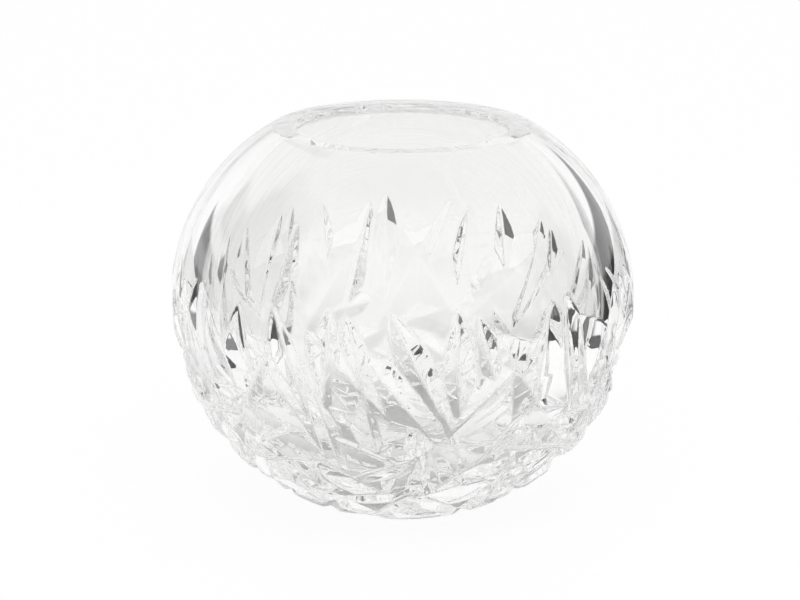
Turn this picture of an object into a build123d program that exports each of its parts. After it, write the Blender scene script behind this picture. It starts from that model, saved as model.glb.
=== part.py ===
from build123d import *
import os
from math import cos, radians, sin, sqrt, tan

# Rose bowl vase of clear cut crystal, one thick glass vessel divided into its five worked zones.
# The origin is the centre of the flat resting face, +Z is up, and lengths are in millimetres.

# Outside of the blank
BOWL_RADIUS = 76.0
EQUATOR_HEIGHT = 68.0
OVERALL_HEIGHT = 125.5
FOOT_RADIUS = 27.0
RIM_OUTER_RADIUS = 42.0

# Cavity
WALL = 9.5
BASE_THICKNESS = 13.0
FLOOR_RADIUS = 10.0
MOUTH_RADIUS = 34.0
MOUTH_LAND = 2.4
RIM_EASE = 2.2

# Heights of the zones: the rim from the top, the others from the cuts and the cavity floor
RIM_DEPTH = 6.0
TIP_MARGIN = 5.0
BAND_DROP = 22.0

# Upright blade cuts, hung from tips above the widest circle
BLADE_COUNT = 32
BLADE_RISE = 17.0
BLADE_STAGGER = 4.0
BLADE_LENGTH_LEAST = 44.0
BLADE_LENGTH_MOST = 54.0
BLADE_LEAN = 8.0
BLADE_LEAN_SPREAD = 36.0

# Long slanting cuts
SWEEP_COUNT = 20
SWEEP_RISE = 9.0
SWEEP_STAGGER = 8.0
SWEEP_LENGTH_LEAST = 50.0
SWEEP_LENGTH_MOST = 58.0
SWEEP_SLANT = 38.0
SWEEP_SLANT_SPREAD = 16.0
SWEEP_TURNED_EVERY = 4

# Short cuts in all directions on the lower bowl
CHIP_COUNT = 132
CHIP_FOOT_GAP = 0.5
CHIP_DROP = 20.0
CHIP_LENGTH_LEAST = 28.0
CHIP_LENGTH_MOST = 50.0

# Section of the cutting wheel's edge, and how far a cutter stands out of the glass
BLADE_HALF_ANGLE = 56.0
SWEEP_HALF_ANGLE = 70.0
CHIP_HALF_ANGLE = 58.0
CUTTER_CLEARANCE = 0.6

# Steps that scatter the cuts evenly and without a visible repeat
GOLDEN_STEP = (sqrt(5) - 1) / 2
SECOND_STEP = sqrt(2) - 1
THIRD_STEP = sqrt(3) - 1
FOURTH_STEP = sqrt(7) - 2


def arc_radius(run, rise):
    """Radius of the arc that leaves the widest circle upright and ends run inwards and rise away."""
    return (run**2 + rise**2) / (2 * run)


# Arcs of the wall: outside below and above the widest circle, inside above it
cavity_radius = BOWL_RADIUS - WALL
land_height = OVERALL_HEIGHT - MOUTH_LAND
outer_low = arc_radius(BOWL_RADIUS - FOOT_RADIUS, EQUATOR_HEIGHT)
outer_high = arc_radius(BOWL_RADIUS - RIM_OUTER_RADIUS, OVERALL_HEIGHT - EQUATOR_HEIGHT)
inner_high = arc_radius(cavity_radius - MOUTH_RADIUS, land_height - EQUATOR_HEIGHT)

# Level seams between the zones
rim_seam = OVERALL_HEIGHT - RIM_DEPTH
shoulder_seam = EQUATOR_HEIGHT + BLADE_RISE + TIP_MARGIN
band_seam = EQUATOR_HEIGHT - BAND_DROP


def share(index, step):
    """Share from 0 to 1 that is spread evenly over the items and doesn't repeat."""
    return (index * step) % 1.0


def between(least, most, part):
    """Value at the given part of the way from least to most."""
    return least + (most - least) * part


def around(middle, spread, part):
    """Value at the given part of a spread that lies evenly round its middle."""
    return middle + spread * (part - 0.5)


def bowl_frame(height, turn):
    """Point on the uncut lower bowl at a height and turn, with its outward and upward directions."""
    rise = (height - EQUATOR_HEIGHT) / outer_low
    level = sqrt(1 - rise**2)
    radius = BOWL_RADIUS - outer_low + outer_low * level
    angle = radians(turn)
    point = Vector(radius * cos(angle), radius * sin(angle), height)
    outward = Vector(level * cos(angle), level * sin(angle), rise)
    upward = Vector(-rise * cos(angle), -rise * sin(angle), level)
    return point, outward, upward


def mitre_cutter(height, turn, slant, length, half_angle):
    """Straight V of the given length on the glass, with its middle at a height and turn."""
    point, outward, upward = bowl_frame(height, turn)
    along = upward.rotate(Axis((0, 0, 0), outward), slant)
    depth = (length / 2) ** 2 / (2 * outer_low)
    rise = depth + CUTTER_CLEARANCE
    width = rise * tan(radians(half_angle))
    plane = Plane(point - outward * depth, x_dir=outward.cross(along), z_dir=along)
    with BuildPart() as cutter:
        with BuildSketch(plane):
            with BuildLine():
                Polyline((0, 0), (width, rise), (-width, rise), close=True)
            make_face()
        extrude(amount=length / 2 + CUTTER_CLEARANCE, both=True)
    return cutter.part


def hung_cutter(tip, turn, slant, length, half_angle):
    """Straight V whose upper tip is at the given height."""
    middle = tip - length / 2 * cos(radians(slant))
    return mitre_cutter(middle, turn, slant, length, half_angle)


def blade_cutters():
    """Upright cuts, each hung from its tip a little above the widest circle."""
    cutters = []
    for i in range(BLADE_COUNT):
        turn = (i + share(i, GOLDEN_STEP) / 2) * 360 / BLADE_COUNT
        slant = around(BLADE_LEAN, BLADE_LEAN_SPREAD, share(i, SECOND_STEP))
        length = between(BLADE_LENGTH_LEAST, BLADE_LENGTH_MOST, share(i, THIRD_STEP))
        tip = EQUATOR_HEIGHT + BLADE_RISE - BLADE_STAGGER * share(i, FOURTH_STEP)
        cutters.append(hung_cutter(tip, turn, slant, length, BLADE_HALF_ANGLE))
    return cutters


def sweep_cutters():
    """Long cuts that slant down the bowl, most of them one way and some turned the other way."""
    cutters = []
    for i in range(SWEEP_COUNT):
        turn = (i + share(i, SECOND_STEP) / 2) * 360 / SWEEP_COUNT
        slant = around(SWEEP_SLANT, SWEEP_SLANT_SPREAD, share(i, GOLDEN_STEP))
        if i % SWEEP_TURNED_EVERY == 0:
            slant = -slant
        length = between(SWEEP_LENGTH_LEAST, SWEEP_LENGTH_MOST, share(i, FOURTH_STEP))
        tip = EQUATOR_HEIGHT + SWEEP_RISE - SWEEP_STAGGER * share(i, THIRD_STEP)
        cutters.append(hung_cutter(tip, turn, slant, length, SWEEP_HALF_ANGLE))
    return cutters


def chip_cutters():
    """Short cuts strewn over the lower bowl in every direction."""
    cutters = []
    for i in range(CHIP_COUNT):
        height = between(CHIP_FOOT_GAP, EQUATOR_HEIGHT - CHIP_DROP, (i + 0.5) / CHIP_COUNT)
        turn = 360 * share(i, GOLDEN_STEP)
        slant = 180 * share(i, SECOND_STEP)
        length = between(CHIP_LENGTH_LEAST, CHIP_LENGTH_MOST, share(i, THIRD_STEP))
        cutters.append(mitre_cutter(height, turn, slant, length, CHIP_HALF_ANGLE))
    return cutters


# Blank: the whole vessel before cutting
with BuildPart() as blank:
    with BuildSketch(Plane.XZ):
        with BuildLine():
            Line((0, 0), (FOOT_RADIUS, 0))
            RadiusArc((FOOT_RADIUS, 0), (BOWL_RADIUS, EQUATOR_HEIGHT), -outer_low)
            RadiusArc((BOWL_RADIUS, EQUATOR_HEIGHT), (RIM_OUTER_RADIUS, OVERALL_HEIGHT), -outer_high)
            Line((RIM_OUTER_RADIUS, OVERALL_HEIGHT), (MOUTH_RADIUS, OVERALL_HEIGHT))
            Line((MOUTH_RADIUS, OVERALL_HEIGHT), (MOUTH_RADIUS, land_height))
            RadiusArc((MOUTH_RADIUS, land_height), (cavity_radius, EQUATOR_HEIGHT), inner_high)
            EllipticalCenterArc(
                (FLOOR_RADIUS, EQUATOR_HEIGHT),
                cavity_radius - FLOOR_RADIUS,
                EQUATOR_HEIGHT - BASE_THICKNESS,
                start_angle=270,
                arc_size=90,
            )
            Line((FLOOR_RADIUS, BASE_THICKNESS), (0, BASE_THICKNESS))
            Line((0, BASE_THICKNESS), (0, 0))
        make_face()
    revolve(axis=Axis.Z)

# Polished rim: the rounded lip round the mouth
with BuildPart() as polished_rim:
    add(blank.part)
    split(bisect_by=Plane.XY.offset(rim_seam), keep=Keep.TOP)
    fillet(edges().filter_by(GeomType.CIRCLE).group_by(Axis.Z)[-1], RIM_EASE)

# Clear shoulder: the smooth dome under the rim
with BuildPart() as clear_shoulder:
    add(blank.part)
    split(bisect_by=Plane.XY.offset(rim_seam), keep=Keep.BOTTOM)
    split(bisect_by=Plane.XY.offset(shoulder_seam), keep=Keep.TOP)

# Cut wall: everything below the shoulder, with its cuts
mitres = blade_cutters() + sweep_cutters() + chip_cutters()
with BuildPart() as cut_wall:
    add(blank.part)
    split(bisect_by=Plane.XY.offset(shoulder_seam), keep=Keep.BOTTOM)
    add(mitres, mode=Mode.SUBTRACT)

# Blade-cut band: the ring round the widest circle
with BuildPart() as blade_cut_band:
    add(cut_wall.part)
    split(bisect_by=Plane.XY.offset(band_seam), keep=Keep.TOP)

# Ice-cut bowl: the lower bowl
with BuildPart() as ice_cut_bowl:
    add(cut_wall.part)
    split(bisect_by=Plane.XY.offset(band_seam), keep=Keep.BOTTOM)
    split(bisect_by=Plane.XY.offset(BASE_THICKNESS), keep=Keep.TOP)

# Thick base: the solid plug under the cavity
with BuildPart() as thick_base:
    add(cut_wall.part)
    split(bisect_by=Plane.XY.offset(BASE_THICKNESS), keep=Keep.BOTTOM)

os.makedirs("parts", exist_ok=True)
polished_rim.part.label = "polished_rim"
export_step(polished_rim.part, "parts/polished_rim.step")
clear_shoulder.part.label = "clear_shoulder"
export_step(clear_shoulder.part, "parts/clear_shoulder.step")
blade_cut_band.part.label = "blade_cut_band"
export_step(blade_cut_band.part, "parts/blade_cut_band.step")
ice_cut_bowl.part.label = "ice_cut_bowl"
export_step(ice_cut_bowl.part, "parts/ice_cut_bowl.step")
thick_base.part.label = "thick_base"
export_step(thick_base.part, "parts/thick_base.step")
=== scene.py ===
"""Rose bowl vase of clear cut crystal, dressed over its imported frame.

The glass is turned from one section, three families of wheel cuts are taken out of it, and the ridges
between them are polished round. Lengths are in metres, the origin is the centre of the resting face, and
+Z is up.
"""

from __future__ import annotations

import logging
import math
from dataclasses import dataclass, replace
from enum import Enum
from typing import Union

import bmesh
import bpy
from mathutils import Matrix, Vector
from mathutils.bvhtree import BVHTree
from mathutils.kdtree import KDTree

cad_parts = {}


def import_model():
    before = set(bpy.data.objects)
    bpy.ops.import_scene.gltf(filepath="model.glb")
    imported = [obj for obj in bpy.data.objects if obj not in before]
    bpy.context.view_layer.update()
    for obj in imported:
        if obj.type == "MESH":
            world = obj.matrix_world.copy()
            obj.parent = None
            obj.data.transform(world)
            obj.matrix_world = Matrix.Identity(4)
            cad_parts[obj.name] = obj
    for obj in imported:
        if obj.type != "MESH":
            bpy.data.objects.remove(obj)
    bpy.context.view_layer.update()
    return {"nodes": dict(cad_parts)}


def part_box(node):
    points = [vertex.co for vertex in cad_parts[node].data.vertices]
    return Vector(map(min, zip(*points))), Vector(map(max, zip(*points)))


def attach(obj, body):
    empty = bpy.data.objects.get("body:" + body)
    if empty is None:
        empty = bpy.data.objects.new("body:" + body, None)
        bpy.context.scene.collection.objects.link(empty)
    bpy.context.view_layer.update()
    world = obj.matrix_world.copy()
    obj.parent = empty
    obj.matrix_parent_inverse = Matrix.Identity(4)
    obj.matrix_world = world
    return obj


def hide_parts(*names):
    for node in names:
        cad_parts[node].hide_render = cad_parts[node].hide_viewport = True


LOG = logging.getLogger("rose_bowl")
MILLIMETRE = 0.001
IMAGE_WIDTH = 800
WELD = 1e-6

Socket = bpy.types.NodeSocket
Colour = tuple[float, float, float]
Point = tuple[float, float]
Number = Union["Term", float, int]


class Step(Enum):
    """Step that scatters the cuts evenly and without a visible repeat."""

    GOLDEN = (math.sqrt(5) - 1) / 2
    SECOND = math.sqrt(2) - 1
    THIRD = math.sqrt(3) - 1
    FOURTH = math.sqrt(7) - 2


class Term:
    """A value in a node tree that adds, multiplies and divides as a plain number does."""

    def __init__(self, draft: NodeDraft, socket: Socket) -> None:
        """Keeps the draft and the socket that carries the value."""
        self.draft = draft
        self.socket = socket

    def __add__(self, other: Number) -> Term:
        """Sum of this value and another."""
        return self.draft.math("ADD", self, other)

    def __radd__(self, other: Number) -> Term:
        """Sum of another value and this one."""
        return self.draft.math("ADD", other, self)

    def __sub__(self, other: Number) -> Term:
        """This value less another."""
        return self.draft.math("SUBTRACT", self, other)

    def __rsub__(self, other: Number) -> Term:
        """Another value less this one."""
        return self.draft.math("SUBTRACT", other, self)

    def __mul__(self, other: Number) -> Term:
        """Product of this value and another."""
        return self.draft.math("MULTIPLY", self, other)

    def __rmul__(self, other: Number) -> Term:
        """Product of another value and this one."""
        return self.draft.math("MULTIPLY", other, self)

    def __truediv__(self, other: Number) -> Term:
        """This value divided by another."""
        return self.draft.math("DIVIDE", self, other)


class NodeDraft:
    """A node tree in the making, whose values are terms."""

    def __init__(self, tree: bpy.types.NodeTree) -> None:
        """Keeps the tree that the nodes go into."""
        self.tree = tree

    def feed(self, value: object, slot: Socket) -> None:
        """Links a term or a socket to a node's input, or sets the input to a plain value.

        Args:
            value: Term, socket or constant.
            slot: Input that takes it.
        """
        if isinstance(value, Term):
            value = value.socket
        if isinstance(value, Socket):
            self.tree.links.new(value, slot)
        else:
            slot.default_value = value

    def node(self, kind: str, inputs: dict[str | int, object], **options: object) -> bpy.types.Node:
        """Adds a node.

        Args:
            kind: Blender's name for the kind of node.
            inputs: Values of its inputs, by name or by number.
            options: Properties of the node itself.

        Returns:
            The new node.
        """
        node = self.tree.nodes.new(kind)
        for name, option in options.items():
            setattr(node, name, option)
        for name, value in inputs.items():
            self.feed(value, node.inputs[name])
        return node

    def math(self, operation: str, *operands: Number) -> Term:
        """Adds a sum of plain numbers.

        Args:
            operation: Blender's name for the operation.
            operands: Terms or constants, in order.

        Returns:
            The result as a term.
        """
        node = self.node("ShaderNodeMath", dict(enumerate(operands)), operation=operation)
        return Term(self, node.outputs["Value"])

    def rising(self, value: Number | Socket, low: float, high: float) -> Term:
        """Share that rises softly from 0 to 1 while the value goes from low to high."""
        inputs = {"Value": value, "From Min": low, "From Max": high}
        node = self.node("ShaderNodeMapRange", inputs, interpolation_type="SMOOTHSTEP")
        return Term(self, node.outputs["Result"])

    def blended(self, mask: Socket, first: Colour, second: Colour) -> Socket:
        """Colour that goes from the first to the second as the mask goes from 0 to 1."""
        inputs = {"Factor": mask, "A": (*first, 1.0), "B": (*second, 1.0)}
        return self.node("ShaderNodeMix", inputs, data_type="RGBA").outputs["Result"]


class TreeDraft(NodeDraft):
    """A geometry node tree in the making, whose sizes become named inputs."""

    def __init__(self, name: str) -> None:
        """Starts a tree with one geometry in and one geometry out.

        Args:
            name: Name of the tree.
        """
        super().__init__(bpy.data.node_groups.new(name, "GeometryNodeTree"))
        for side in ("INPUT", "OUTPUT"):
            self.tree.interface.new_socket("Geometry", in_out=side, socket_type="NodeSocketGeometry")
        self.source = self.tree.nodes.new("NodeGroupInput")
        self.target = self.tree.nodes.new("NodeGroupOutput")
        self.settings: dict[str, float | int] = {}

    def size(self, name: str, value: float | int) -> Term:
        """Adds a named input to the tree.

        Args:
            name: Name that the input shows.
            value: Size or count that the modifier gives it.

        Returns:
            The input as a term.
        """
        kind = "NodeSocketInt" if isinstance(value, int) else "NodeSocketFloat"
        socket = self.tree.interface.new_socket(name, in_out="INPUT", socket_type=kind)
        self.settings[socket.identifier] = value
        return Term(self, self.source.outputs[name])

    def vector(self, x: Number, y: Number, z: Number) -> Socket:
        """Vector of three terms or constants."""
        return self.node("ShaderNodeCombineXYZ", {"X": x, "Y": y, "Z": z}).outputs["Vector"]

    def turned(self, vector: object, axis: object, angle: Number) -> Socket:
        """Vector turned round an axis through the origin by an angle in radians."""
        inputs = {"Vector": vector, "Axis": axis, "Angle": angle}
        return self.node("ShaderNodeVectorRotate", inputs).outputs["Vector"]

    def index(self) -> Term:
        """Number of the item in its list, from 0."""
        return Term(self, self.node("GeometryNodeInputIndex", {}).outputs["Index"])

    def share(self, index: Term, step: Step) -> Term:
        """Share from 0 to 1 that is spread evenly over the items."""
        return self.math("FRACT", index * step.value)

    def run(self, holder: bpy.types.Object) -> None:
        """Runs the tree on an object and leaves the result in it as a plain mesh.

        Args:
            holder: Object whose mesh goes into the tree.
        """
        modifier = holder.modifiers.new(self.tree.name, "NODES")
        modifier.node_group = self.tree
        for identifier, value in self.settings.items():
            modifier[identifier] = value
        settle(holder)


def settle(holder: bpy.types.Object) -> None:
    """Turns what an object's modifiers make into its plain mesh, and takes the modifiers away.

    Args:
        holder: Object with the modifiers.
    """
    depsgraph = bpy.context.evaluated_depsgraph_get()
    mesh = bpy.data.meshes.new_from_object(holder.evaluated_get(depsgraph), depsgraph=depsgraph)
    holder.modifiers.clear()
    holder.data = mesh


@dataclass(frozen=True)
class Section:
    """Half section of the uncut vessel, from the middle of the foot round the wall to the cavity floor."""

    overall_height: float
    base_thickness: float
    bowl_radius: float = 76.0 * MILLIMETRE
    equator_height: float = 68.0 * MILLIMETRE
    foot_radius: float = 27.0 * MILLIMETRE
    rim_outer_radius: float = 42.0 * MILLIMETRE
    wall: float = 9.5 * MILLIMETRE
    floor_radius: float = 10.0 * MILLIMETRE
    mouth_radius: float = 34.0 * MILLIMETRE
    mouth_land: float = 2.4 * MILLIMETRE
    rim_ease: float = 2.2 * MILLIMETRE
    wall_steps: int = 52
    ease_steps: int = 10

    @staticmethod
    def arc_radius(run: float, rise: float) -> float:
        """Radius of the arc that leaves the widest circle upright and ends run inwards and rise away."""
        return (run**2 + rise**2) / (2 * run)

    @property
    def outer_low(self) -> float:
        """Radius of the outside's arc below the widest circle."""
        return self.arc_radius(self.bowl_radius - self.foot_radius, self.equator_height)

    @property
    def outer_high(self) -> float:
        """Radius of the outside's arc above the widest circle."""
        rise = self.overall_height - self.equator_height
        return self.arc_radius(self.bowl_radius - self.rim_outer_radius, rise)

    @staticmethod
    def arc(middle: Point, radius: float, start: float, end: float, steps: int) -> list[Point]:
        """Points along an arc, both ends among them.

        Args:
            middle: Centre of the arc, outwards and up.
            radius: Radius of the arc.
            start: First angle in radians, from outwards towards up.
            end: Last angle in radians.
            steps: Number of steps between them.

        Returns:
            Points outwards and up.
        """
        points = []
        for step in range(steps + 1):
            angle = start + (end - start) * step / steps
            points.append((middle[0] + radius * math.cos(angle), middle[1] + radius * math.sin(angle)))
        return points

    def outside(self) -> list[Point]:
        """Foot, lower bowl and shoulder, up to where the lip begins to round over."""
        low_start = -math.asin(self.equator_height / self.outer_low)
        low_middle = (self.bowl_radius - self.outer_low, self.equator_height)
        high_middle = (self.bowl_radius - self.outer_high, self.equator_height)
        lip_reach = self.outer_high - self.rim_ease
        lip_rise = self.overall_height - self.rim_ease - self.equator_height
        high_end = math.asin(lip_rise / lip_reach)
        lip_middle = (high_middle[0] + lip_reach * math.cos(high_end), self.overall_height - self.rim_ease)
        points = [(0.0, 0.0), (self.foot_radius / 2, 0.0)]
        points += self.arc(low_middle, self.outer_low, low_start, 0.0, self.wall_steps)
        points += self.arc(high_middle, self.outer_high, 0.0, high_end, self.wall_steps)[1:]
        points += self.arc(lip_middle, self.rim_ease, high_end, math.pi / 2, self.ease_steps)[1:]
        return points

    def inside(self) -> list[Point]:
        """Lip, mouth and cavity, down to the middle of the cavity floor."""
        cavity = self.bowl_radius - self.wall
        land = self.overall_height - self.mouth_land
        high = self.arc_radius(cavity - self.mouth_radius, land - self.equator_height)
        start = math.asin((land - self.equator_height) / high)
        lip_middle = (self.mouth_radius + self.rim_ease, self.overall_height - self.rim_ease)
        points = self.arc(lip_middle, self.rim_ease, math.pi / 2, math.pi, self.ease_steps)
        points += self.arc((cavity - high, self.equator_height), high, start, 0.0, self.wall_steps)
        depth = self.equator_height - self.base_thickness
        for step in range(1, self.wall_steps + 1):
            angle = math.pi / 2 * step / self.wall_steps
            outward = self.floor_radius + (cavity - self.floor_radius) * math.cos(angle)
            points.append((outward, self.equator_height - depth * math.sin(angle)))
        return points + [(self.floor_radius / 2, self.base_thickness), (0.0, self.base_thickness)]

    def mesh(self) -> bpy.types.Mesh:
        """Mesh of the section's points alone, in the plane of X and Z."""
        points = self.outside() + self.inside()
        mesh = bpy.data.meshes.new("section")
        mesh.from_pydata([(outward, 0.0, up) for outward, up in points], [], [])
        return mesh


class TurnedSurface:
    """Surface that the section sweeps out when it is turned round the axis."""

    WALL_STEPS = 1200
    EASE_STEPS = 120
    SPACING = 0.1 * MILLIMETRE

    def __init__(self, section: Section) -> None:
        """Sets finely spaced places along the section, outwards and up.

        Args:
            section: Section of the uncut vessel.
        """
        fine = replace(section, wall_steps=self.WALL_STEPS, ease_steps=self.EASE_STEPS)
        corners = [Vector((outward, up, 0.0)) for outward, up in fine.outside() + fine.inside()]
        self.places: list[Vector] = []
        for start, end in zip(corners[:-1], corners[1:]):
            steps = math.ceil((end - start).length / self.SPACING)
            self.places += [start.lerp(end, step / steps) for step in range(steps)]
        self.tree = KDTree(len(self.places))
        for index, place in enumerate(self.places):
            self.tree.insert(place, index)
        self.tree.balance()

    def nearest(self, point: Vector) -> tuple[Vector, Vector]:
        """Finds the place on the surface nearest to a point.

        Args:
            point: Any point near the surface.

        Returns:
            The place, and the direction there that leads out of the glass.
        """
        up = Vector((0.0, 0.0, 1.0))
        level = Vector((point.x, point.y, 0.0))
        reach = level.length
        level /= max(reach, WELD)
        place, index, _ = self.tree.find((reach, point.z, 0.0))
        ahead = self.places[min(index + 1, len(self.places) - 1)] - self.places[max(index - 1, 0)]
        outward = (level * ahead.y - up * ahead.x).normalized()
        offset = (point - level * place.x - up * place.y).dot(outward)
        return point - outward * offset, outward


@dataclass(frozen=True)
class CutFields:
    """Where each cut of a family lies, as terms of its tree."""

    height: Term
    turn: Term
    slant: Term
    length: Term


@dataclass(frozen=True)
class CutFamily:
    """One family of straight mitre cuts, with its lengths in metres and its angles in degrees."""

    name: str
    count: int
    half_angle: float
    length_least: float
    length_most: float
    slant: float
    slant_spread: float
    turn_step: Step
    slant_step: Step
    length_step: Step

    def lengths(self, draft: TreeDraft, index: Term) -> Term:
        """Length of each cut, between the least and the most."""
        least = draft.size(f"{self.name} Length Least", self.length_least)
        most = draft.size(f"{self.name} Length Most", self.length_most)
        return least + (most - least) * draft.share(index, self.length_step)

    def slants(self, draft: TreeDraft, index: Term) -> Term:
        """Slant of each cut from upright, in radians."""
        middle = draft.size(f"{self.name} Slant", math.radians(self.slant))
        spread = draft.size(f"{self.name} Slant Spread", math.radians(self.slant_spread))
        return middle + spread * (draft.share(index, self.slant_step) - 0.5)

    def fields(self, draft: TreeDraft, index: Term, count: Term, section: Section) -> CutFields:
        """Where each cut lies.

        Args:
            draft: Tree that the terms belong to.
            index: Number of the cut.
            count: Number of cuts in the family.
            section: Section of the uncut vessel.

        Returns:
            Height, turn, slant and length of the cuts.
        """
        raise NotImplementedError


@dataclass(frozen=True)
class HungCuts(CutFamily):
    """Cuts that hang from tips near the widest circle."""

    rise: float
    stagger: float
    tip_step: Step
    turned_every: int

    def fields(self, draft: TreeDraft, index: Term, count: Term, section: Section) -> CutFields:
        """Where each cut lies: evenly round the bowl, by its tip."""
        turn = (index + draft.share(index, self.turn_step) * 0.5) * math.tau / count
        slant = self.slants(draft, index)
        if self.turned_every:
            every = draft.size(f"{self.name} Turned Every", self.turned_every)
            turned = draft.math("LESS_THAN", draft.math("MODULO", index, every), 0.5)
            slant = slant * (1.0 - turned * 2.0)
        length = self.lengths(draft, index)
        rise = draft.size(f"{self.name} Rise", self.rise)
        stagger = draft.size(f"{self.name} Stagger", self.stagger)
        tip = section.equator_height + rise - stagger * draft.share(index, self.tip_step)
        height = tip - length * 0.5 * draft.math("COSINE", slant)
        return CutFields(height, turn, slant, length)


@dataclass(frozen=True)
class StrewnCuts(CutFamily):
    """Cuts strewn in every direction from the foot up to a little below the widest circle."""

    foot_gap: float
    drop: float

    def fields(self, draft: TreeDraft, index: Term, count: Term, section: Section) -> CutFields:
        """Where each cut lies: evenly up the bowl, and scattered round it."""
        turn = draft.share(index, self.turn_step) * math.tau
        low = draft.size(f"{self.name} Foot Gap", self.foot_gap)
        drop = draft.size(f"{self.name} Drop", self.drop)
        height = low + (section.equator_height - drop - low) * (index + 0.5) / count
        return CutFields(height, turn, self.slants(draft, index), self.lengths(draft, index))


BLADES = HungCuts(
    name="Blade",
    count=32,
    half_angle=56.0,
    length_least=44.0 * MILLIMETRE,
    length_most=54.0 * MILLIMETRE,
    slant=8.0,
    slant_spread=36.0,
    turn_step=Step.GOLDEN,
    slant_step=Step.SECOND,
    length_step=Step.THIRD,
    rise=17.0 * MILLIMETRE,
    stagger=4.0 * MILLIMETRE,
    tip_step=Step.FOURTH,
    turned_every=0,
)
SWEEPS = HungCuts(
    name="Sweep",
    count=20,
    half_angle=70.0,
    length_least=50.0 * MILLIMETRE,
    length_most=58.0 * MILLIMETRE,
    slant=38.0,
    slant_spread=16.0,
    turn_step=Step.SECOND,
    slant_step=Step.GOLDEN,
    length_step=Step.FOURTH,
    rise=9.0 * MILLIMETRE,
    stagger=8.0 * MILLIMETRE,
    tip_step=Step.THIRD,
    turned_every=4,
)
CHIPS = StrewnCuts(
    name="Chip",
    count=132,
    half_angle=58.0,
    length_least=28.0 * MILLIMETRE,
    length_most=50.0 * MILLIMETRE,
    slant=90.0,
    slant_spread=180.0,
    turn_step=Step.GOLDEN,
    slant_step=Step.SECOND,
    length_step=Step.THIRD,
    foot_gap=0.5 * MILLIMETRE,
    drop=20.0 * MILLIMETRE,
)


class Mottle:
    """Soft cloudy variation over a surface, shared by the glass and the floor."""

    GROUP = "soft_mottle"
    INPUTS = {"Vector": "NodeSocketVector", "Scale": "NodeSocketFloat", "Detail": "NodeSocketFloat"}
    LOW = 0.25
    HIGH = 0.75

    @classmethod
    def group(cls) -> bpy.types.NodeTree:
        """Node group with a place, a scale and a detail in, and a mask from 0 to 1 out.

        Returns:
            The group, built on its first use.
        """
        if cls.GROUP in bpy.data.node_groups:
            return bpy.data.node_groups[cls.GROUP]
        tree = bpy.data.node_groups.new(cls.GROUP, "ShaderNodeTree")
        for name, kind in cls.INPUTS.items():
            tree.interface.new_socket(name, in_out="INPUT", socket_type=kind)
        tree.interface.new_socket("Mask", in_out="OUTPUT", socket_type="NodeSocketFloat")
        draft = NodeDraft(tree)
        source = draft.node("NodeGroupInput", {}).outputs
        noise = draft.node("ShaderNodeTexNoise", {name: source[name] for name in cls.INPUTS})
        draft.node("NodeGroupOutput", {"Mask": draft.rising(noise.outputs["Fac"], cls.LOW, cls.HIGH)})
        return tree

    @classmethod
    def mask(cls, draft: NodeDraft, scale: float, detail: float) -> Socket:
        """Places the group in a material, on Object coordinates.

        Args:
            draft: Node tree of the material.
            scale: Clouds to the metre.
            detail: Octaves of finer clouds.

        Returns:
            Socket of the mask.
        """
        place = draft.node("ShaderNodeTexCoord", {}).outputs["Object"]
        inputs = {"Vector": place, "Scale": scale, "Detail": detail}
        return draft.node("ShaderNodeGroup", inputs, node_tree=cls.group()).outputs["Mask"]


@dataclass(frozen=True)
class CrystalFinish:
    """Clear polished crystal with faint streaks in its body and a hand-polished surface."""

    body: Colour = (0.974, 0.976, 0.971)
    streak: Colour = (0.982, 0.983, 0.979)
    streak_scale: float = 24.0
    streak_detail: float = 3.0
    polish_scale: float = 160.0
    polish_detail: float = 2.0
    polish_roughness: float = 0.008
    ripple_scale: float = 30.0
    ripple_detail: float = 1.0
    ripple_height: float = 0.01 * MILLIMETRE
    index_of_refraction: float = 1.55

    def material(self) -> bpy.types.Material:
        """Builds the material.

        Returns:
            Glass whose tint, polish and ripple come from its nodes.
        """
        material = bpy.data.materials.new("clear_crystal_finish")
        material.use_nodes = True
        draft = NodeDraft(material.node_tree)
        streaks = Mottle.mask(draft, self.streak_scale, self.streak_detail)
        polish = Mottle.mask(draft, self.polish_scale, self.polish_detail)
        ripple = Mottle.mask(draft, self.ripple_scale, self.ripple_detail)
        bump = draft.node("ShaderNodeBump", {"Height": ripple, "Distance": self.ripple_height})
        glass = draft.tree.nodes["Principled BSDF"]
        glass.inputs["IOR"].default_value = self.index_of_refraction
        glass.inputs["Transmission Weight"].default_value = 1.0
        draft.feed(draft.blended(streaks, self.body, self.streak), glass.inputs["Base Color"])
        draft.feed(Term(draft, polish) * self.polish_roughness, glass.inputs["Roughness"])
        draft.feed(bump.outputs["Normal"], glass.inputs["Normal"])
        return material


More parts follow.
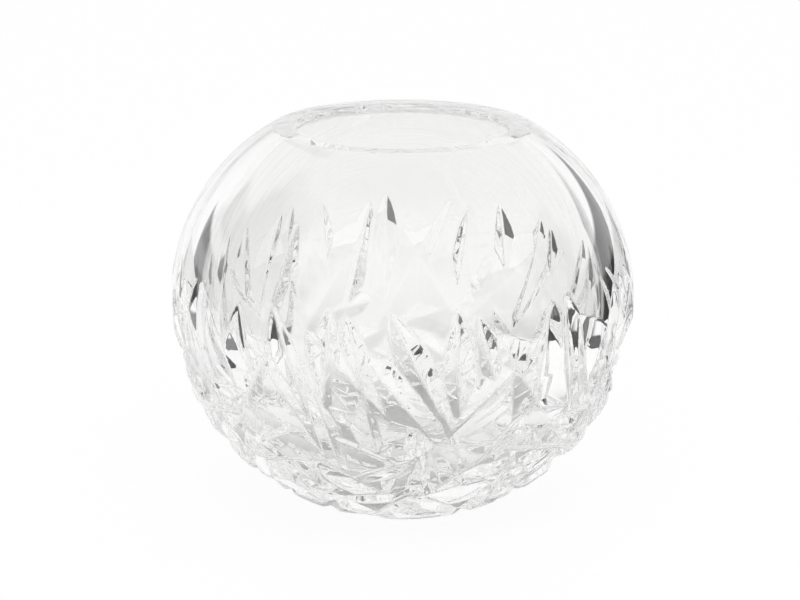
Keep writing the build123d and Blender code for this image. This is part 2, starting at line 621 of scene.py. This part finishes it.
class CrispGlass:
    """The glass as the wheel leaves it: true surfaces that meet in sharp ridges."""

    TURNED_REACH = 0.02 * MILLIMETRE
    RIDGE_ANGLE = math.radians(5.0)
    CORNER_ANGLE = math.radians(25.0)
    RIDGE_SPACING = 0.25 * MILLIMETRE

    def __init__(self, mesh: bpy.types.Mesh, section: Section) -> None:
        """Sorts the faces into turned surfaces and cut facets, and finds the ridges.

        Args:
            mesh: Cut glass.
            section: Section of the uncut vessel.
        """
        self.turned = TurnedSurface(section)
        shape = bmesh.new()
        shape.from_mesh(mesh)
        self.faces = BVHTree.FromBMesh(shape)
        self.is_turned = [self.lies_on_turned(face.calc_center_median()) for face in shape.faces]
        places: list[Vector] = []
        for edge in shape.edges:
            turned = all(self.is_turned[face.index] for face in edge.link_faces)
            if edge.calc_face_angle(0.0) < (self.CORNER_ANGLE if turned else self.RIDGE_ANGLE):
                continue
            start, end = (vertex.co for vertex in edge.verts)
            steps = math.ceil(edge.calc_length() / self.RIDGE_SPACING)
            places += [start.lerp(end, step / steps) for step in range(steps + 1)]
        shape.free()
        self.ridges = KDTree(len(places))
        for index, place in enumerate(places):
            self.ridges.insert(place, index)
        self.ridges.balance()

    def lies_on_turned(self, point: Vector) -> bool:
        """Tells whether a point lies on the turned surface."""
        return (self.turned.nearest(point)[0] - point).length < self.TURNED_REACH

    def nearest(self, point: Vector) -> tuple[Vector, Vector]:
        """Finds the place on the true surface nearest to a point.

        Args:
            point: Any point near the glass.

        Returns:
            The place, and the direction there that leads out of the glass.
        """
        place, outward, index, _ = self.faces.find_nearest(point)
        return self.turned.nearest(point) if self.is_turned[index] else (place, outward)

    def ridge_distance(self, point: Vector) -> float:
        """Distance from a point to the nearest ridge."""
        return self.ridges.find(point)[2]


@dataclass(frozen=True)
class RidgePolish:
    """Polish that rounds the ridges between the cuts, and keeps facets flat and turned surfaces true."""

    grain: float = 0.55 * MILLIMETRE
    rounds: int = 2
    kept_share: float = 0.16
    ridge_reach: float = 0.25 * MILLIMETRE
    true_reach: float = 0.8 * MILLIMETRE

    def trueness(self, distance: float) -> float:
        """Share of the true surface at a distance from the nearest ridge."""
        share = min(max((distance - self.ridge_reach) / (self.true_reach - self.ridge_reach), 0.0), 1.0)
        return share * share * (3.0 - 2.0 * share)

    def polish(self, glass: bpy.types.Object, section: Section) -> None:
        """Polishes the cut glass in place.

        Args:
            glass: Object with the cut glass as a plain mesh.
            section: Section of the uncut vessel.
        """
        crisp = CrispGlass(glass.data, section)
        fine = glass.modifiers.new("grain", "REMESH")
        fine.mode = "VOXEL"
        fine.voxel_size = self.grain
        soft = glass.modifiers.new("soft", "SMOOTH")
        soft.iterations = self.rounds
        spare = glass.modifiers.new("spare", "DECIMATE")
        spare.ratio = self.kept_share
        settle(glass)
        places: list[float] = []
        normals: list[Vector] = []
        for vertex in glass.data.vertices:
            place, outward = crisp.nearest(vertex.co)
            share = self.trueness(crisp.ridge_distance(vertex.co))
            places.extend(vertex.co.lerp(place, share))
            normals.append(vertex.normal.lerp(outward, share).normalized())
        glass.data.vertices.foreach_set("co", places)
        glass.data.shade_smooth()
        glass.data.normals_split_custom_set_from_vertices(normals)


@dataclass
class CutCrystalBowl:
    """The vase: one vessel of thick glass, turned, cut and polished, for all five zones of the frame."""

    section: Section
    finish: CrystalFinish
    polish: RidgePolish = RidgePolish()
    families: tuple[CutFamily, ...] = (BLADES, SWEEPS, CHIPS)
    segments: int = 288
    cutter_clearance: float = 0.6 * MILLIMETRE
    cutter_top: float = 1.1
    body: str = "root"
    slot: str = "clear_crystal"

    def turned_blank(self, draft: TreeDraft, points: int) -> Socket:
        """Turns the section's points round the axis.

        Args:
            draft: Tree that takes the section's points in.
            points: Number of points in the section.

        Returns:
            Closed mesh of the uncut vessel.
        """
        segments = draft.size("Segments", self.segments)
        rows = draft.size("Section Points", points)
        sheet = draft.node("GeometryNodeMeshGrid", {"Vertices X": segments + 1, "Vertices Y": rows})
        index = draft.index()
        column = draft.math("FLOOR", index / rows)
        position = draft.node("GeometryNodeInputPosition", {}).outputs["Position"]
        sample = draft.node("GeometryNodeSampleIndex", {}, data_type="FLOAT_VECTOR", domain="POINT")
        draft.feed(draft.source.outputs["Geometry"], sample.inputs["Geometry"])
        draft.feed(position, sample.inputs["Value"])
        draft.feed(index - column * rows, sample.inputs["Index"])
        turned = draft.turned(sample.outputs["Value"], (0.0, 0.0, 1.0), column * math.tau / segments)
        moved = {"Geometry": sheet.outputs["Mesh"], "Position": turned}
        placed = draft.node("GeometryNodeSetPosition", moved)
        welded = {"Geometry": placed.outputs["Geometry"], "Distance": WELD}
        return draft.node("GeometryNodeMergeByDistance", welded).outputs["Geometry"]

    def cutter(self, draft: TreeDraft) -> Socket:
        """Unit cutter: a straight V along Y, one wide to each side, one long to each end and one deep.

        Its flat top stands a little above the V, clear of the glass.

        Args:
            draft: Tree that takes the cutter.

        Returns:
            Closed mesh of the cutter, with its edge along the origin.
        """
        bar = draft.node("GeometryNodeMeshCube", {"Size": (2.0, 2.0, 1.0), "Vertices X": 3})
        position = draft.node("GeometryNodeInputPosition", {}).outputs["Position"]
        parts = draft.node("ShaderNodeSeparateXYZ", {"Vector": position}).outputs
        side = draft.math("ABSOLUTE", Term(draft, parts["X"]))
        above = draft.math("GREATER_THAN", Term(draft, parts["Z"]), 0.0)
        height = side + above * (self.cutter_top - side)
        shaped = draft.vector(Term(draft, parts["X"]), Term(draft, parts["Y"]), height)
        placed = {"Geometry": bar.outputs["Mesh"], "Position": shaped}
        return draft.node("GeometryNodeSetPosition", placed).outputs["Geometry"]

    def cuts(self, draft: TreeDraft, family: CutFamily, cutter: Socket) -> Socket:
        """Places a family's cutters on the bowl.

        Args:
            draft: Tree that takes them.
            family: Family of cuts.
            cutter: Unit cutter.

        Returns:
            One instance of the cutter for each cut.
        """
        section = self.section
        low = section.outer_low
        count = draft.size(f"{family.name} Count", family.count)
        fields = family.fields(draft, draft.index(), count, section)
        level_x = draft.math("COSINE", fields.turn)
        level_y = draft.math("SINE", fields.turn)
        rise = (fields.height - section.equator_height) / low
        level = draft.math("SQRT", 1.0 - rise * rise)
        outward = draft.vector(level * level_x, level * level_y, rise)
        upward = draft.vector(rise * level_x * -1.0, rise * level_y * -1.0, level)
        along = draft.turned(upward, outward, fields.slant)
        half = fields.length * 0.5
        depth = half * half / (2.0 * low)
        reach = section.bowl_radius - low + (low - depth) * level
        middle = draft.vector(reach * level_x, reach * level_y, fields.height - depth * rise)
        points = draft.node("GeometryNodePoints", {"Count": count, "Position": middle})
        axes = {"Primary Axis": outward, "Secondary Axis": along}
        rotation = draft.node("FunctionNodeAxesToRotation", axes, primary_axis="Z", secondary_axis="Y")
        stand = depth + self.cutter_clearance
        half_angle = draft.size(f"{family.name} Half Angle", math.radians(family.half_angle))
        width = stand * draft.math("TANGENT", half_angle)
        placed = {
            "Points": points.outputs["Points"],
            "Instance": cutter,
            "Rotation": rotation.outputs["Rotation"],
            "Scale": draft.vector(width, half + self.cutter_clearance, stand),
        }
        return draft.node("GeometryNodeInstanceOnPoints", placed).outputs["Instances"]

    def build(self) -> bpy.types.Object:
        """Turns, cuts and polishes the glass.

        Returns:
            The glass as a plain closed mesh at the origin.
        """
        section = self.section.mesh()
        material = self.finish.material()
        draft = TreeDraft("cut_crystal")
        blank = self.turned_blank(draft, len(section.vertices))
        cutter = self.cutter(draft)
        taking_out = {"operation": "DIFFERENCE", "solver": "MANIFOLD"}
        cut = draft.node("GeometryNodeMeshBoolean", {"Mesh 1": blank}, **taking_out)
        for family in self.families:
            draft.feed(self.cuts(draft, family, cutter), cut.inputs["Mesh 2"])
        whole = draft.node("GeometryNodeRealizeInstances", {"Geometry": cut.outputs["Mesh"]})
        dressed = {"Geometry": whole.outputs["Geometry"], "Material": material}
        last = draft.node("GeometryNodeSetMaterial", dressed)
        draft.feed(last.outputs["Geometry"], draft.target.inputs["Geometry"])
        glass = bpy.data.objects.new("cut_crystal_bowl", section)
        bpy.context.scene.collection.objects.link(glass)
        draft.run(glass)
        self.polish.polish(glass, self.section)
        glass.data.materials.clear()
        glass.data.materials.append(material)
        return glass

    def dress(self, nodes: list[str]) -> bpy.types.Object:
        """Builds the glass and puts it in the place of the frame's zones.

        Args:
            nodes: Names of the frame's nodes that the glass stands for.

        Returns:
            The finished piece.
        """
        glass = self.build()
        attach(glass, self.body)
        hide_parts(*nodes)
        return glass


@dataclass(frozen=True)
class FloorFinish:
    """Plain white paper, which the camera sees nearly pure white, with a trace of the vase's shadow."""

    paper: Colour = (0.94, 0.94, 0.94)
    fibre: Colour = (0.95, 0.95, 0.945)
    fibre_scale: float = 60.0
    fibre_detail: float = 4.0
    roughness: float = 0.6
    seen_white: float = 0.95
    glass_white: float = 0.10

    def material(self) -> bpy.types.Material:
        """Builds the material.

        Returns:
            Paper mixed with plain white for the rays that show the background.
        """
        material = bpy.data.materials.new("white_paper")
        material.use_nodes = True
        draft = NodeDraft(material.node_tree)
        paper = draft.tree.nodes["Principled BSDF"]
        paper.inputs["Roughness"].default_value = self.roughness
        fibres = Mottle.mask(draft, self.fibre_scale, self.fibre_detail)
        draft.feed(draft.blended(fibres, self.paper, self.fibre), paper.inputs["Base Color"])
        rays = draft.node("ShaderNodeLightPath", {}).outputs
        mirrored = Term(draft, rays["Is Glossy Ray"])
        refracted = Term(draft, rays["Is Transmission Ray"])
        through = draft.math("MAXIMUM", mirrored, refracted)
        seen = Term(draft, rays["Is Camera Ray"]) * self.seen_white
        share = draft.math("MAXIMUM", seen, through * self.glass_white)
        white = draft.node("ShaderNodeEmission", {}).outputs["Emission"]
        mix = draft.node("ShaderNodeMixShader", {0: share, 1: paper.outputs["BSDF"], 2: white})
        draft.feed(mix.outputs["Shader"], draft.tree.nodes["Material Output"].inputs["Surface"])
        return material


@dataclass(frozen=True)
class Flag:
    """A soft-edged dark flag in the studio, which the camera doesn't see, with its angles in degrees.

    The azimuth counts from straight behind the vase towards its right.
    """

    azimuth: float
    half_width: float
    low: float
    high: float
    edge: float
    tone: float

    def darkened(self, draft: NodeDraft, azimuth: Term, elevation: Term, shade: Number) -> Term:
        """Darkens the studio by this flag.

        Args:
            draft: Node tree of the world.
            azimuth: Azimuth that is looked at, in radians.
            elevation: Elevation that is looked at, in radians.
            shade: Tone of the studio so far.

        Returns:
            Tone of the studio with the flag.
        """
        angles = (self.half_width, self.low, self.high, self.edge)
        half, low, high, edge = (math.radians(angle) for angle in angles)
        away = draft.math("WRAP", azimuth - math.radians(self.azimuth), math.pi, -math.pi)
        outside = draft.rising(draft.math("ABSOLUTE", away), half, half + edge)
        over = draft.rising(elevation, high, high + edge)
        cover = (1.0 - outside) * draft.rising(elevation, low - edge, low) * (1.0 - over)
        return shade * (1.0 - cover * (1.0 - self.tone))


@dataclass(frozen=True)
class StudioSky:
    """White studio, all white to the camera, with dark flags and a dark ground beyond the paper."""

    flags: tuple[Flag, ...] = (
        Flag(azimuth=95.0, half_width=70.0, low=-60.0, high=-1.0, edge=2.0, tone=0.04),
        Flag(azimuth=90.0, half_width=14.0, low=-60.0, high=22.0, edge=8.0, tone=0.12),
        Flag(azimuth=-95.0, half_width=58.0, low=-60.0, high=-1.0, edge=2.0, tone=0.20),
        Flag(azimuth=-90.0, half_width=18.0, low=-60.0, high=42.0, edge=10.0, tone=0.05),
        Flag(azimuth=-90.0, half_width=40.0, low=8.0, high=16.0, edge=4.0, tone=0.10),
    )

    def build(self) -> bpy.types.World:
        """Builds the world.

        Returns:
            World that the scene uses.
        """
        world = bpy.data.worlds.new("white_studio")
        world.use_nodes = True
        world.node_tree.nodes.clear()
        draft = NodeDraft(world.node_tree)
        place = draft.node("ShaderNodeTexCoord", {}).outputs["Generated"]
        parts = draft.node("ShaderNodeSeparateXYZ", {"Vector": place}).outputs
        azimuth = draft.math("ARCTAN2", Term(draft, parts["X"]), Term(draft, parts["Y"]))
        elevation = draft.math("ARCSINE", Term(draft, parts["Z"]))
        shade: Number = 1.0
        for flag in self.flags:
            shade = flag.darkened(draft, azimuth, elevation, shade)
        studio = draft.node("ShaderNodeBackground", {"Color": shade}).outputs["Background"]
        white = draft.node("ShaderNodeBackground", {"Color": (1.0, 1.0, 1.0, 1.0)}).outputs["Background"]
        seen = draft.node("ShaderNodeLightPath", {}).outputs["Is Camera Ray"]
        mix = draft.node("ShaderNodeMixShader", {0: seen, 1: studio, 2: white}).outputs["Shader"]
        draft.node("ShaderNodeOutputWorld", {"Surface": mix})
        return world


@dataclass
class Studio:
    """Paper, light and camera round the vase."""

    target: Vector = Vector((-0.8 * MILLIMETRE, 0.0, 66.8 * MILLIMETRE))
    floor_finish: FloorFinish = FloorFinish()
    sky: StudioSky = StudioSky()
    paper_left: float = 0.42
    paper_right: float = 0.34
    paper_front: float = 1.5
    paper_back: float = 3.0
    floor_gap: float = 0.2 * MILLIMETRE
    lamp_power: float = 3.0
    lamp_side: float = 0.8
    lamp_place: Vector = Vector((0.0, -0.62, 0.72))
    elevation: float = 15.0
    distance: float = 1.1
    pixels_per_metre: float = 3040.0
    sensor_width: float = 36.0
    clip_start: float = 0.01
    most_bounces: int = 40
    glass_bounces: int = 32
    mirror_bounces: int = 24

    def build_floor(self) -> bpy.types.Object:
        """Lays the paper that the vase stands on.

        Returns:
            The floor.
        """
        left, right, front, back = -self.paper_left, self.paper_right, -self.paper_front, self.paper_back
        outline = ((left, front), (right, front), (right, back), (left, back))
        corners = [(x, y, -self.floor_gap) for x, y in outline]
        mesh = bpy.data.meshes.new("floor")
        mesh.from_pydata(corners, [], [(0, 1, 2, 3)])
        mesh.materials.append(self.floor_finish.material())
        floor = bpy.data.objects.new("floor", mesh)
        bpy.context.scene.collection.objects.link(floor)
        return floor

    def build_lamp(self) -> bpy.types.Object:
        """Hangs a soft square lamp above and before the vase, which doesn't show in the glass.

        Returns:
            The lamp.
        """
        light = bpy.data.lights.new("soft_lamp", "AREA")
        light.energy = self.lamp_power
        light.size = self.lamp_side
        lamp = bpy.data.objects.new("soft_lamp", light)
        lamp.location = self.lamp_place
        lamp.rotation_euler = (self.target - self.lamp_place).to_track_quat("-Z", "Y").to_euler()
        lamp.visible_glossy = False
        lamp.visible_transmission = False
        bpy.context.scene.collection.objects.link(lamp)
        return lamp

    def build_camera(self) -> bpy.types.Object:
        """Sets the camera at the photograph's viewing angle.

        Returns:
            The scene's camera.
        """
        camera = bpy.data.cameras.new("camera")
        camera.sensor_width = self.sensor_width
        camera.lens = self.sensor_width * self.pixels_per_metre * self.distance / IMAGE_WIDTH
        camera.clip_start = self.clip_start
        elevation = math.radians(self.elevation)
        away = Vector((0.0, -math.cos(elevation), math.sin(elevation)))
        eye = bpy.data.objects.new("camera", camera)
        eye.location = self.target + away * self.distance
        eye.rotation_euler = (-away).to_track_quat("-Z", "Y").to_euler()
        bpy.context.scene.collection.objects.link(eye)
        bpy.context.scene.camera = eye
        return eye

    def build(self) -> None:
        """Builds the floor, the lamp, the sky and the camera, and sets how far light goes in the glass."""
        scene = bpy.context.scene
        self.build_floor()
        self.build_lamp()
        self.build_camera()
        scene.world = self.sky.build()
        scene.view_settings.view_transform = "Standard"
        scene.cycles.max_bounces = self.most_bounces
        scene.cycles.transmission_bounces = self.glass_bounces
        scene.cycles.glossy_bounces = self.mirror_bounces
        scene.cycles.caustics_reflective = False


def main() -> None:
    """Dresses the vase and sets the studio round it."""
    logging.basicConfig(level=logging.INFO, format="%(name)s: %(message)s")
    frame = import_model()
    section = Section(
        overall_height=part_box("polished_rim")[1].z,
        base_thickness=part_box("thick_base")[1].z,
    )
    bowl = CutCrystalBowl(section, CrystalFinish())
    glass = bowl.dress(sorted(frame["nodes"]))
    LOG.info("%s: %d faces", glass.name, len(glass.data.polygons))
    Studio().build()


if __name__ == "__main__":
    main()
